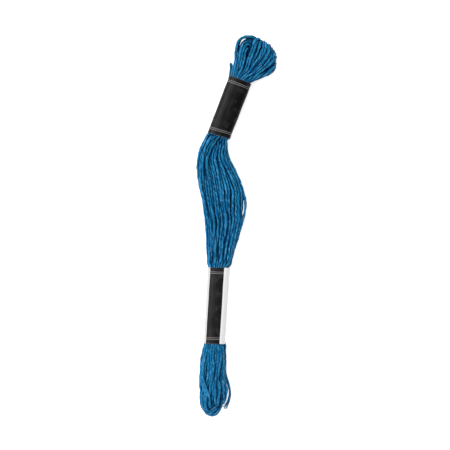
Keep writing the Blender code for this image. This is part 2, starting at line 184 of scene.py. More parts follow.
# What holds the loops of the head and the tail, seen from above: see Outline
HEAD_CENTRE, TAIL_CENTRE = (5.0, 72.0), (-10.8, -66.0)
HEAD_SPARE = ((-180, 0), (-60, 0.2), (0, 0.3), (60, 0.3), (100, 0.6), (160, 0.5), (180, 0))
TAIL_SPARE = (
    (-180, 0), (-110, 0.1), (-90, 0.3), (-72, 0.7), (-60, 1.5), (-35, 1.8), (-15, 1.4), (0, 1), (50, 1),
    (70, 0.5), (90, 0), (180, 0),
)

# The cut ends. They follow the source's routes, and the loose end strays up to 0.5 mm near its cut.
LOOSE_END = (
    (-5.08, -51.3, 1.6), (-5, -53.5, 1), (-4.95, -56.5, 0.6), (-4.97, -60, 0.56), (-4.8, -63.2, 0.56),
    (-4.25, -66, 0.56), (-3.35, -69, 0.56), (-2.8, -72, 0.56), (-3.15, -74.8, 0.56), (-4.1, -77.1, 0.56),
    (-5.25, -78.9, 0.56),
)
SHORT_END = ((-2.8, 65.4, 1.3), (-2.45, 67, 0.9), (-2.25, 68.9, 0.65), (-2.45, 70.9, 0.45))
LOOSE_END_SLOT, SHORT_END_SLOT = (3.6, -1.2), (-3.9, -1.4)  # the slots that they want in the bands
CUT_END_IN_BAND = 4.0  # how far inside a band they start
LOOSE_END_POINTS, FRAY_POINTS, PAST_TUBE = 90, 18, 8  # of the end, its spread plies and what is only plies
LOOSE_END_SPREAD = (0.22, 0.45, 1.6)  # how far apart the plies are, what is added at the cut, and its power
SHORT_END_POINTS = 46
SHORT_END_SPREAD = ((0, 0.45, 0.68, 0.84, 1), (0.26, 0.30, 0.52, 0.50, 0.10))  # along it: shares, and how far

# Paper bands. PAPER_WALL and FLAP_REACH are the source's: the wall of a band there, and where its
# glued end lies on the underside, in shares of the half width. The rest is the real paper's.
PAPER_WALL = 0.25
FLAP_REACH = (-0.5, 0.6)
PAPER = 0.12  # thickness
PAPER_STEP = (0.2, 0.5)  # of its mesh, round the band and along it
PAPER_OVER_INSIDE = 0.22  # how far its printed side is out from the source's inner wall
PAPER_OVER_SLOT = 0.62  # and from the middle of a slot right under it
STRIPE = (-3.55, 2.45)  # the lower band's black stripe, across its top
LINES = (1.9, 2.6)  # thin plain lines across the print, from each end
PAPER_WAVES, PAPER_CREASES = 7, 9  # shallow ones all over it

# Painted shade: other floss within REACH darkens the colour of a place that faces it. Floss that
# is nearer than OVERHEAD, seen from above, darkens a place by how much higher it is, as a painted shadow.
REACH, OVERHEAD = 2.3, 1.5

PLY_TWIST = 1.05  # how far along the yarn the fine strands of a ply take for half a turn

# The camera looks straight down: millimetres in one pixel, the size of the picture in pixels, and
# its middle, in pixels from the object's origin
PIXEL, PICTURE, PICTURE_MIDDLE = 0.432, 450, (-11.5, 1.0)

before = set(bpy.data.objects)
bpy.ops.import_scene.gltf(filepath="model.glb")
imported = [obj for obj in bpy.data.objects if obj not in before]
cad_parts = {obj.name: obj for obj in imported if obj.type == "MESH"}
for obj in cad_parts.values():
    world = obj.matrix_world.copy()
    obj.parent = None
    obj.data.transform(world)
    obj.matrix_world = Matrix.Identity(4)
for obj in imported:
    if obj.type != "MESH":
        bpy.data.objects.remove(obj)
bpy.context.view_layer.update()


# ---------------------------------------------------------------- what the frame says

def node_points(name):
    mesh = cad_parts[name].data
    points = np.empty(len(mesh.vertices) * 3)
    mesh.vertices.foreach_get("co", points)
    return points.reshape(-1, 3) / MM


def node_tree(name):
    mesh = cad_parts[name].data
    corners = [Vector(v.co) / MM for v in mesh.vertices]
    return BVHTree.FromPolygons(corners, [tuple(p.vertices) for p in mesh.polygons])


def cast(tree, start, towards):
    """Distance from a point to the solid's skin in a direction, in millimetres."""
    hit = tree.ray_cast(Vector(start), Vector(towards))
    return hit[3] if hit[0] is not None else 0.0


class Band:
    """Where a paper band is: the middles of its two ends, and the room inside it."""

    def __init__(self, name):
        points = node_points(name)
        upper = points[:, 1] > points[:, 1].mean()
        self.foot, self.top = points[~upper].mean(0), points[upper].mean(0)
        self.low, self.high = points[:, 2].min() + 2 * PAPER_WALL, points[:, 2].max() - PAPER_WALL
        self.foot[2] = self.top[2] = (self.low + self.high) / 2
        self.middle = (self.foot + self.top) / 2
        self.along = (self.top - self.foot) / np.linalg.norm(self.top - self.foot)
        self.across = np.cross(self.along, UP)
        tree = node_tree(name)
        self.half_width = min(
            cast(tree, end + self.along * inwards, self.across * way)
            for end, inwards in ((self.foot, 1.5), (self.top, -1.5)) for way in (-1, 1))

    def place(self, end, slot):
        """The point of a slot, which is a place (across, up) in the band's section, at an end."""
        return end + self.across * slot[0] + UP * slot[1]


skein = node_tree("floss_skein")
upper_band = Band("upper_band")
lower_band = Band("lower_band")


# ---------------------------------------------------------------- paths

def smoothstep(low, high, x):
    t = np.clip((x - low) / (high - low), 0, 1)
    return t * t * (3 - 2 * t)


def hump(x, middle, reach, power=2):
    """1 at the middle, fading to nothing beyond reach."""
    return np.exp(-(((x - middle) / reach) ** power))


def wave(turns):
    return np.sin(2 * np.pi * turns)


def unit(vectors):
    return vectors / np.linalg.norm(vectors, axis=-1, keepdims=True)


def travelled(points):
    """Distance along each line from its first point to each of its points."""
    steps = np.linalg.norm(np.diff(points, axis=-2), axis=-1)
    return np.concatenate([np.zeros_like(steps[..., :1]), np.cumsum(steps, axis=-1)], axis=-1)


def smooth_path(corners, count):
    """count points, evenly spaced, on a curve of cubics from corner to corner."""
    p = np.asarray(corners, float)
    p = np.vstack([2 * p[0] - p[1], p, 2 * p[-1] - p[-2]])
    t = np.linspace(0, 1, 12, endpoint=False)[:, None]
    fine = []
    for a, b, c, d in zip(p, p[1:], p[2:], p[3:]):
        before, here, after = (np.linalg.norm(q) ** 0.5 for q in (b - a, c - b, d - c))
        leave = here * ((b - a) / before - (c - a) / (before + here)) + c - b
        reach = here * ((d - c) / after - (d - b) / (here + after)) + c - b
        square, cube = 3 * (c - b) - 2 * leave - reach, 2 * (b - c) + leave + reach
        fine.append(b + leave * t + square * t**2 + cube * t**3)
    return spaced(np.vstack([*fine, p[-2:-1]]), count)


def spaced(points, count):
    """The same line with count evenly spaced points."""
    at = travelled(points)
    wanted = np.linspace(0, at[-1], count)
    return np.stack([np.interp(wanted, at, points[:, k]) for k in range(points.shape[1])], axis=1)


def near_pairs(points, reach, run, place):
    """Pairs of points nearer than reach, other than neighbours on the same run."""
    square = (points**2).sum(1)
    gap = square[:, None] + square[None, :] - 2 * points @ points.T
    i, j = np.nonzero(gap < reach * reach)
    keep = (i < j) & ~((run[i] == run[j]) & (np.abs(place[i] - place[j]) < NEIGHBOURS))
    return i[keep], j[keep]


def relax(homes, radius, fixed, contain, steps=260, weight=0.012, pull=0.03, stiff=8):
    """Pushes runs of floss apart where they overlap, and keeps each smooth and near its home.

    homes is (runs, points, 3), radius and fixed are (runs, points), and contain(paths) keeps
    them inside the skein's outline.
    """
    paths = homes.copy()
    runs, count, _ = paths.shape
    run = np.repeat(np.arange(runs), count)
    place = np.tile(np.arange(count), runs)
    size = radius.reshape(-1)
    for step in range(steps):
        flat = paths.reshape(-1, 3)
        if step % 8 == 0:
            i, j = near_pairs(flat.astype(np.float32), 2.9 * RUN_RADIUS, run, place)
        apart = flat[j] - flat[i]
        distance = np.linalg.norm(apart, axis=1) + 1e-9
        overlap = np.maximum(size[i] + size[j] - distance, 0) / distance
        push = apart * (0.5 * overlap)[:, None]
        touched = overlap > 0
        met = np.bincount(i[touched], minlength=len(flat)) + np.bincount(j[touched], minlength=len(flat))
        moved = np.stack([
            np.bincount(j, push[:, k], len(flat)) - np.bincount(i, push[:, k], len(flat)) for k in range(3)
        ], axis=1)
        flat = flat + moved / np.maximum(met, 1)[:, None] ** 0.6
        shift = flat.reshape(paths.shape) - homes
        shift[..., 2] -= weight
        shift *= 1 - pull
        for _ in range(stiff if step < steps * 0.8 else stiff // 3):
            shift[:, 1:-1] += 0.5 * ((shift[:, :-2] + shift[:, 2:]) / 2 - shift[:, 1:-1])
        shift[fixed] = 0
        paths = contain(homes + shift)
        paths[..., 2] = np.maximum(paths[..., 2], radius)
        paths[fixed] = homes[fixed]
    return paths


# ---------------------------------------------------------------- how the floss is packed in a band

def runs_in_belly():
    """(place across from -1 to 1, layer, order in the layer) of every run in the belly."""
    rows = []
    for layer, count in enumerate(LAYERS):
        for k in range(count):
            rows.append(((2 * k + 1) / count - 1, layer, k))
    return np.array(rows)


def pack_slots(band, rows):
    """Slots of the runs in a band: discs that fill its inside, in the same order as in the belly."""
    half = np.array([band.half_width, (band.high - band.low) / 2])
    slots = np.stack([
        rows[:, 0] * half[0] * 0.9,
        ((rows[:, 1] + 0.25 + 0.5 * (rows[:, 2] % 2)) / 3 - 0.5) * 2 * half[1],
    ], axis=1)
    room = half - RUN_RADIUS_IN_BAND
    for _ in range(400):
        apart = slots[None] - slots[:, None]
        distance = np.linalg.norm(apart, axis=2) + np.eye(len(slots)) * 9
        overlap = np.maximum(2 * RUN_RADIUS_IN_BAND - distance, 0) / distance
        slots -= 0.35 * (apart * overlap[..., None]).sum(1)
        reach = (np.abs(slots / room) ** BAND_CORNERS).sum(1) ** (1 / BAND_CORNERS)
        slots /= np.maximum(reach, 1)[:, None]
    return slots


def assign(wanted, slots):
    """For each wanted place a slot of its own, swapped until the places are as near as can be."""
    cost = ((np.array(wanted)[:, None] - slots[None]) ** 2).sum(2)
    chosen = np.arange(len(wanted))
    better = True
    while better:
        better = False
        for a in range(len(chosen)):
            for b in range(a + 1, len(chosen)):
                now = cost[a, chosen[a]] + cost[b, chosen[b]]
                if cost[a, chosen[b]] + cost[b, chosen[a]] < now - 1e-9:
                    chosen[a], chosen[b] = chosen[b], chosen[a]
                    better = True
    return chosen


# ---------------------------------------------------------------- belly

def lay_belly(rows, slots_low, slots_high, random):
    """Runs from the lower band up to the upper one, each from a little way inside the bands."""
    start = lower_band.top - lower_band.along * IN_BAND
    end = upper_band.foot + upper_band.along * IN_BAND
    count = int(np.linalg.norm(end - start) / POINT_STEP)
    share = np.linspace(0, 1, count)
    middle = start + (end - start) * share[:, None]
    middle[:, 2] = 2.0
    turn = smoothstep(0.75, 1.0, share)[:, None]
    across = unit(lower_band.across * (1 - turn) + upper_band.across * turn)
    left = np.array([cast(skein, m, -a) for m, a in zip(middle, across)])
    right = np.array([cast(skein, m, a) for m, a in zip(middle, across)])
    for side in (left, right):
        side[:] = np.convolve(np.pad(side, 2, mode="edge"), np.ones(5) / 5, mode="valid")
    left += NECK_SPARE * hump(share, *NECK_AT)
    for side in (left, right):
        side += FOOT_SPARE * hump(share, *FOOT_AT)

    inside = IN_BAND / np.linalg.norm(end - start)
    # 0 in the bands, and 1 where a run has left its slot for its place in the belly
    near_end = np.minimum((share - inside * 0.6) / 0.11, (1 - share - inside * 0.6) / 0.105)
    free = 1 - (1 - np.clip(near_end, 0, 1)) ** 2
    bump = hump(middle[:, 1], LOOSE_RUN_MIDDLE, LOOSE_RUN_REACH, 4) * LOOSE_RUN_GAP
    slide = np.interp(share, [0, 0.3, 0.55, 0.8, 1.0], BELLY_SLIDE)
    homes = np.empty((len(rows), count, 3))
    limits = []
    for r, (u, layer, k) in enumerate(rows):
        loose = layer == 2 and k == LAYERS[2] - 1
        wander = sum(
            random.normal() * size * wave(share * waves + random.random()) for size, waves in BELLY_WANDER)
        place = u + (slide * (layer - 0.7) * (1 - u * u) + wander) * (not loose)
        low = -left + RUN_RADIUS
        high = right - RUN_RADIUS - bump * (not loose)
        limits.append((low, high))
        x = high if loose else low + (high - low) * np.clip((place + 1) / 2, 0, 1)
        belly = middle + across * x[:, None]
        belly[:, 2] = 1.2 if loose else RUN_RADIUS + BELLY_LAYER * layer
        if layer == 2 and not loose:
            belly[:, 2] += BELLY_RIPPLE[0] * random.normal() * wave(BELLY_RIPPLE[1] * share + random.random())
            belly[:, 2] += BUNCH_RISE * (k in BUNCH) * hump(share, *BUNCH_AT)
        foot, top = slots_low[r], slots_high[r]
        packed = np.where(share[:, None] < 0.5, lower_band.place(middle, foot), upper_band.place(middle, top))
        packed[:, 2] = np.where(share < 0.5, lower_band.foot[2] + foot[1], upper_band.foot[2] + top[1])
        homes[r] = packed + (belly - packed) * free[:, None]
    limits = np.array(limits)
    hold = smoothstep(0, 0.3, free)[:, None]

    def contain(paths):
        x = ((paths - middle) * across).sum(2)
        kept = np.clip(x, limits[:, 0], limits[:, 1])
        return paths + (kept - x)[..., None] * across * hold

    radius = np.broadcast_to(RUN_RADIUS_IN_BAND + (RUN_RADIUS - RUN_RADIUS_IN_BAND) * free, homes.shape[:2])
    fixed = np.broadcast_to((share < inside) | (share > 1 - inside), homes.shape[:2])
    return relax(homes, radius, fixed, contain)


# ---------------------------------------------------------------- loops at the head and the tail

class Outline:
    """How far the skein reaches from a middle point in every direction, seen from above.

    It has no limit towards the band, where a point far out is inside the skein's other half.
    spare lists (degrees, millimetres): how far loops over 1.5 mm up may reach past the solid.
    """

    def __init__(self, centre, spare, reach=30.0):
        self.centre = np.array(centre)
        self.spare = spare
        self.angles = np.linspace(-math.pi, math.pi, 145)
        self.far = np.empty(len(self.angles))
        for i, angle in enumerate(self.angles):
            way = np.array([math.cos(angle), math.sin(angle), 0.0])
            outside = np.array([*centre, 0.0]) + way * reach
            skin, normal, _, _ = skein.find_nearest(Vector(outside + UP * 2.0))
            if (Vector(outside + UP * 2.0) - skin).dot(normal) < 0:
                self.far[i] = reach
                continue
            hits = [skein.ray_cast(Vector(outside + UP * z), Vector(-way)) for z in np.arange(0.4, 4.5, 0.4)]
            self.far[i] = reach - min([h[3] for h in hits if h[0] is not None], default=0.0)

    def contain(self, paths):
        offset = paths[..., :2] - self.centre
        far = np.linalg.norm(offset, axis=2) + 1e-9
        angle = np.arctan2(offset[..., 1], offset[..., 0])
        spare = np.interp(np.degrees(angle), *zip(*self.spare)) * smoothstep(0.9, 1.7, paths[..., 2])
        limit = np.interp(angle, self.angles, self.far) - RUN_RADIUS + spare
        kept = paths.copy()
        kept[..., :2] -= offset * (np.maximum(far - limit, 0) / far)[..., None]
        return kept


def lay_loops(loops, slots, pairs, band, end, outward, outline, wander, random):
    """Loops that leave a band at its end by one slot and come back by another.

    loops lists each loop's points, pairs its two slots, outward is the way out of the band, and
    wander is how far a loop strays to the side.
    """
    corners = []
    first = (-IN_BAND, -IN_BAND / 3, 0.2)
    for points, pair in zip(loops, pairs):
        out, back = ([band.place(end + outward * d, slots[k]) for d in first] for k in pair)
        corners.append([*out, *np.array(points), *back[::-1]])
    length = max(np.linalg.norm(np.diff(np.array(c), axis=0), axis=1).sum() for c in corners)
    count = int(length * 1.02 / POINT_STEP)
    homes = np.stack([smooth_path(c, count) for c in corners])
    beyond = (homes - end) @ outward
    flow = np.gradient(homes, axis=1)
    aside = np.cross(flow, UP)
    aside /= np.linalg.norm(aside, axis=2)[..., None] + 1e-3
    share = np.linspace(0, 1, count)
    each = (len(homes), 1)
    for waves in (2.0, 3.7, 5.3):
        for way, size in ((aside, wander), (UP, wander * 0.4)):
            stray = size * random.normal(size=each) * wave(waves * share + random.random(each))
            homes += way * (stray * smoothstep(0.5, 6, beyond) / waves**0.5)[..., None]
    radius = RUN_RADIUS_IN_BAND + (RUN_RADIUS - RUN_RADIUS_IN_BAND) * smoothstep(-0.5, 3, beyond)
    return relax(homes, radius, beyond < 0.1, outline.contain)


def arc_wants(slots):
    return [place for u, out, back in slots for place in ((u, out), (u + BACK_BESIDE, back))]


def head_loops(random):
    """Points of the head's loops, and where each wants its two slots."""
    loops, wanted = list(HEAD_ARCS), arc_wants(HEAD_ARC_SLOTS)
    guides = np.stack([smooth_path([(*p, 0.0) for p in g], GUIDE_POINTS)[:, :2] for g in HEAD_GUIDES])
    across = np.arange(len(guides))
    for k in range(HEAD_FAN):
        share = (k + 0.5) / HEAD_FAN
        # Its slots go across the band to its right side, and then down there.
        u = 1.2 + 2.9 * min(share / FAN_CORNER, 1)
        low = 2.4 * max(share - FAN_CORNER, 0) / (1 - FAN_CORNER)
        wanted += [(u, 2.0 - low), (u, -1.2 - 0.4 * low)]
        legs = []
        for place, heights in zip((share, share + random.uniform(0.03, 0.06)), FAN_HEIGHTS):
            guide = [[np.interp(np.clip(place, 0, 1) * across[-1], across, guides[:, m, c]) for c in (0, 1)]
                     for m in range(GUIDE_POINTS)]
            z = np.interp(np.arange(GUIDE_POINTS), (0, 3, 6, 8), heights)
            legs.append(np.column_stack([guide, z]))
        short = random.uniform(0.1, 0.6)
        way = legs[0][-1] - legs[0][-3]
        way[2] = 0.0
        way /= np.linalg.norm(way)
        for leg in legs:
            leg -= way * (np.linspace(0, 1, GUIDE_POINTS)[:, None] ** 2 * short)
        turn = (legs[0][-1] + legs[1][-1]) / 2 + way * 0.9
        turn[2] = 1.9
        loops.append([*legs[0][1:], turn, *legs[1][:0:-1]])
    return loops, wanted


def tail_loops():
    """Points of the tail's loops, and where each wants its two slots."""
    loops, wanted = list(TAIL_ARCS), arc_wants(TAIL_ARC_SLOTS)
    for start, foot, turn, out, back, swing in TAIL_TURNS:
        u = (start - lower_band.foot[0]) / TAIL_SPREAD
        wanted += [(u, (z - TAIL_MIDDLE) * 0.9) for z in (out, back)]
        legs = []
        for z in (out, back):
            leg = [(x, y, z) for x, y in zip((start, (start + foot) / 2, foot), TAIL_LEVELS)]
            leg.append((foot + swing, turn + 4.8, z))
            leg.append((foot + swing * 0.6, turn + 1.5, z + (2.0 - z) * 0.3))
            legs.append(leg)
        loops.append([*legs[0], (foot, turn, (out + back) / 2 - 0.4), *legs[1][::-1]])
    return loops, wanted


# ---------------------------------------------------------------- tubes

def resample_runs(paths, step):
    lengths = np.linalg.norm(np.diff(paths, axis=1), axis=2).sum(1)
    count = int(lengths.max() / step) + 1
    return np.stack([spaced(p, count) for p in paths])


def drawn_runs(paths, before, after):
    """Each path drawn at an even step, with a few points more on to where it meets the next."""
    drawn = resample_runs(paths, RING_STEP)
    share = np.array([0.0, 0.3, 0.6, 0.85])[:, None]
    first = np.stack([b + (p[0] - b) * share for b, p in zip(before, drawn)])
    last = np.stack([a + (p[-1] - a) * share[::-1] for a, p in zip(after, drawn)])
    return np.concatenate([first, drawn, last], axis=1)


def every_second(paths):
    """Every second point of all the paths, to shade them by."""
    return paths[:, ::2].reshape(-1, 3)


def bloom(paths):
    """The size of a run's section along it: squeezed in the bands, and full a little way out."""
    along = travelled(paths)
    hidden = np.linalg.norm(paths[:, 4] - paths[:, 0], axis=1)[:, None] + IN_BAND
    out = np.minimum(along - hidden, along[:, -1:] - hidden - along)
    return SCALE_IN_BAND + (1 - SCALE_IN_BAND) * smoothstep(-1.0, 1.4, out)


def crowding(points, ways, others, shadow_from_above):
    """How full of floss it is in each direction from each point, which sets its painted shade: 0 is
    open, and about 1 buried.

    The last argument is the painted shadow that is added where the floss around rises high over
    the point.
    """
    filled = np.zeros(ways.shape[:2])
    for first in range(0, len(points), 400):
        part = slice(first, first + 400)
        apart = others[None] - points[part, None]
        distance = np.linalg.norm(apart, axis=2)
        over = np.where(np.hypot(apart[..., 0], apart[..., 1]) < OVERHEAD, apart[..., 2], 0).max(1)
        filled[part] = shadow_from_above * smoothstep(0.8, 2.6, over)[:, None]
        i, j = np.nonzero((distance < REACH) & (distance > 0.6 * RUN_RADIUS))
        if not len(i):
            continue
        far = distance[i, j]
        towards = apart[i, j] / far[:, None]
        facing = np.maximum(np.einsum("psk,pk->ps", ways[part][i], towards), 0) ** 1.5
        facing *= (RUN_RADIUS / far[:, None]) ** 2
        starts = np.flatnonzero(np.diff(i, prepend=-1))
        filled[first + i[starts]] += np.add.reduceat(facing, starts, axis=0)
    return filled


def add_object(name, data):
    obj = bpy.data.objects.new(name, data)
    bpy.context.scene.collection.objects.link(obj)
    return obj


def set_points(mesh, name, values):
    mesh.attributes.new(name, "FLOAT", "POINT").data.foreach_set("value", values)


def yarn_tubes(name, paths, yarn, random, scale=1.0, others=None, teal=0.0, dim=1.0, shadow_from_above=0.0):
    """A mesh of twisted yarn along each path.

    scale is the section's size, over (runs, points), others are points of the floss around, dim is
    how dark the painted shade of crowded places gets, the last argument is how dark the painted
    shadow on sunken places gets, and teal is how green the points are.
    """
    runs, count, _ = paths.shape
    scale = np.broadcast_to(scale, (runs, count))
    tangent = unit(np.gradient(paths, axis=1))
    normal = np.empty_like(paths)
    n = np.cross(tangent[:, 0], UP) + 1e-6
    for k in range(count):
        n = unit(n - (n * tangent[:, k]).sum(1)[:, None] * tangent[:, k])
        normal[:, k] = n
    binormal = np.cross(tangent, normal)
    along = travelled(paths)
    turn = random.random(runs)[:, None] - along / yarn.twist

    # The section: a lobe for each ply, which swells and narrows a little on its way.
    side = np.arange(yarn.sides) / yarn.sides
    lobe = np.abs(np.sin(np.pi * side * yarn.plies)) ** 0.55
    ply = np.arange(yarn.sides) * yarn.plies // yarn.sides
    phase = random.random((runs, yarn.plies))
    waves = 0.08 * wave(along[..., None] / 9.3 + phase[:, None])
    uneven = 1 + waves + 0.06 * wave(along[..., None] / 3.7 + 3.3 * phase[:, None])
    shape = (1 - yarn.groove + yarn.groove * lobe) * uneven[..., ply]
    angle = 2 * np.pi * (side + turn[..., None])
    offset = np.cos(angle)[..., None] * normal[:, :, None] + np.sin(angle)[..., None] * binormal[:, :, None]
    # Painted shade: how crowded and sunken each place round each ring is darkens its colour in the material.
    painted_shade = np.zeros(offset.shape[:3])
    if others is not None:
        painted_shade = crowding(paths.reshape(-1, 3), offset.reshape(-1, yarn.sides, 3), others, shadow_from_above) * dim
    offset *= (shape * scale[..., None] * yarn.radius)[..., None]

    # Where the yarn lies level, it is wider and flatter, or rounder, by turns.
    lean = UP - tangent[..., 2:3] * tangent
    level = (lean**2).sum(2)
    lean /= np.sqrt(level + 1e-9)[..., None]
    wide = np.cross(tangent, lean)
    thin_part = (offset * lean[:, :, None]).sum(3)[..., None] * lean[:, :, None]
    wide_part = (offset * wide[:, :, None]).sum(3)[..., None] * wide[:, :, None]
    waves = wave(along / 8.7 + random.random((runs, 1)))
    waves = yarn.vary * (waves + 0.7 * wave(along / 4.1 + random.random((runs, 1))))
    thin_by = level * (yarn.flat - 1 - 0.7 * waves)
    wide_by = level * (yarn.wide - 1 + waves)
    offset += thin_by[..., None, None] * thin_part + wide_by[..., None, None] * wide_part

    rings = paths[:, :, None] + offset
    rings[..., 2] = np.maximum(rings[..., 2], 0.01)
    ends = np.stack([paths[:, 0], paths[:, -1]], axis=1).reshape(-1, 3)
    grid = np.arange(runs * count * yarn.sides).reshape(runs, count, yarn.sides)
    after = np.roll(grid, -1, axis=2)
    quads = np.stack([grid[:, :-1], after[:, :-1], after[:, 1:], grid[:, 1:]], axis=-1).reshape(-1, 4)
    tips = (grid.size + np.arange(2 * runs)).reshape(runs, 2, 1).repeat(yarn.sides, axis=2)
    caps = np.concatenate([
        np.stack([after[:, 0], grid[:, 0], tips[:, 0]], axis=-1),
        np.stack([grid[:, -1], after[:, -1], tips[:, 1]], axis=-1),
    ]).reshape(-1, 3)
    mesh = bpy.data.meshes.new(name)
    mesh.from_pydata(np.vstack([rings.reshape(-1, 3), ends]) * MM, [], [*quads.tolist(), *caps.tolist()])
    mesh.shade_smooth()

    # U is millimetres along the yarn, V the place round it, "run" differs for each run, "teal" is
    # how green a place is, also all along one run in five, and the third attribute holds the painted
    # shade of crowded and sunken places.
    in_caps = np.zeros(2 * runs)
    corners = np.concatenate([quads.ravel(), caps.ravel()])
    u = np.concatenate([np.repeat(along.reshape(-1), yarn.sides), in_caps])
    v = np.broadcast_to(side, (runs, count - 1, yarn.sides))
    uv = np.empty((len(corners), 2))
    uv[:, 0] = u[corners]
    uv[: quads.size, 1] = np.stack([v, v + 1 / yarn.sides, v + 1 / yarn.sides, v], -1).ravel()
    uv[quads.size:, 1] = 0.5
    mesh.uv_layers.new(name="UVMap").data.foreach_set("uv", uv.ravel())
    tones = random.random(runs)
    greener = np.maximum(0.45 * smoothstep(0.8, 1.0, tones)[:, None], np.broadcast_to(teal, (runs, count)))
    set_points(mesh, "run", np.concatenate([np.repeat(tones, count * yarn.sides), np.repeat(tones, 2)]))
    set_points(mesh, "teal", np.concatenate([np.repeat(greener.ravel(), yarn.sides), in_caps]))
    set_points(mesh, "painted_shade", np.concatenate([painted_shade.ravel(), in_caps]))
    return add_object(name, mesh)


def cut_end(name, path, random, spread, yarn, teal=0.0):
    """The six plies of a cut end. spread is how far apart they are along the path."""
    plies = []
    tangent = path[-1] - path[-2]
    tangent /= np.linalg.norm(tangent)
    side = np.cross(tangent, UP)
    share = np.linspace(0, 1, len(path))[:, None]
    for k in range(FLOSS.plies):
        angle = 2 * math.pi * (k + random.random() * 0.5) / FLOSS.plies
        way = side * math.cos(angle) + UP * math.sin(angle) * 0.6
        bend = side * random.normal() * 0.35 * share**3
        ply = path + way * spread[:, None] + bend * spread.max()
        ply += tangent * share**2 * random.uniform(-0.5, 0.4)
        ply[:, 2] = np.maximum(ply[:, 2], yarn.radius)
        plies.append(ply)
    return yarn_tubes(name, np.array(plies), yarn, random, np.linspace(1, 0.75, len(path)), teal=teal)


# ---------------------------------------------------------------- paper

def blurred(ring, spread):
    """A closed ring of values, blurred over spread of them."""
    reach = np.fft.rfftfreq(len(ring)) * spread * 2 * np.pi
    return np.fft.irfft(np.fft.rfft(ring) * np.exp(-reach**2 / 2), len(ring))


def round_slots(slots, angle):
    """How far the floss in a band reaches from the band's axis at each angle, less its average."""
    ways = np.stack([np.cos(angle), np.sin(angle)], axis=1)
    ahead = ways @ slots.T
    inside = ahead**2 - (slots**2).sum(1) + PAPER_OVER_SLOT**2
    reach = np.where(inside > 0, ahead + np.sqrt(np.maximum(inside, 0)), 0).max(1)
    return np.clip(reach - blurred(reach, 12), -0.15, 0.15)


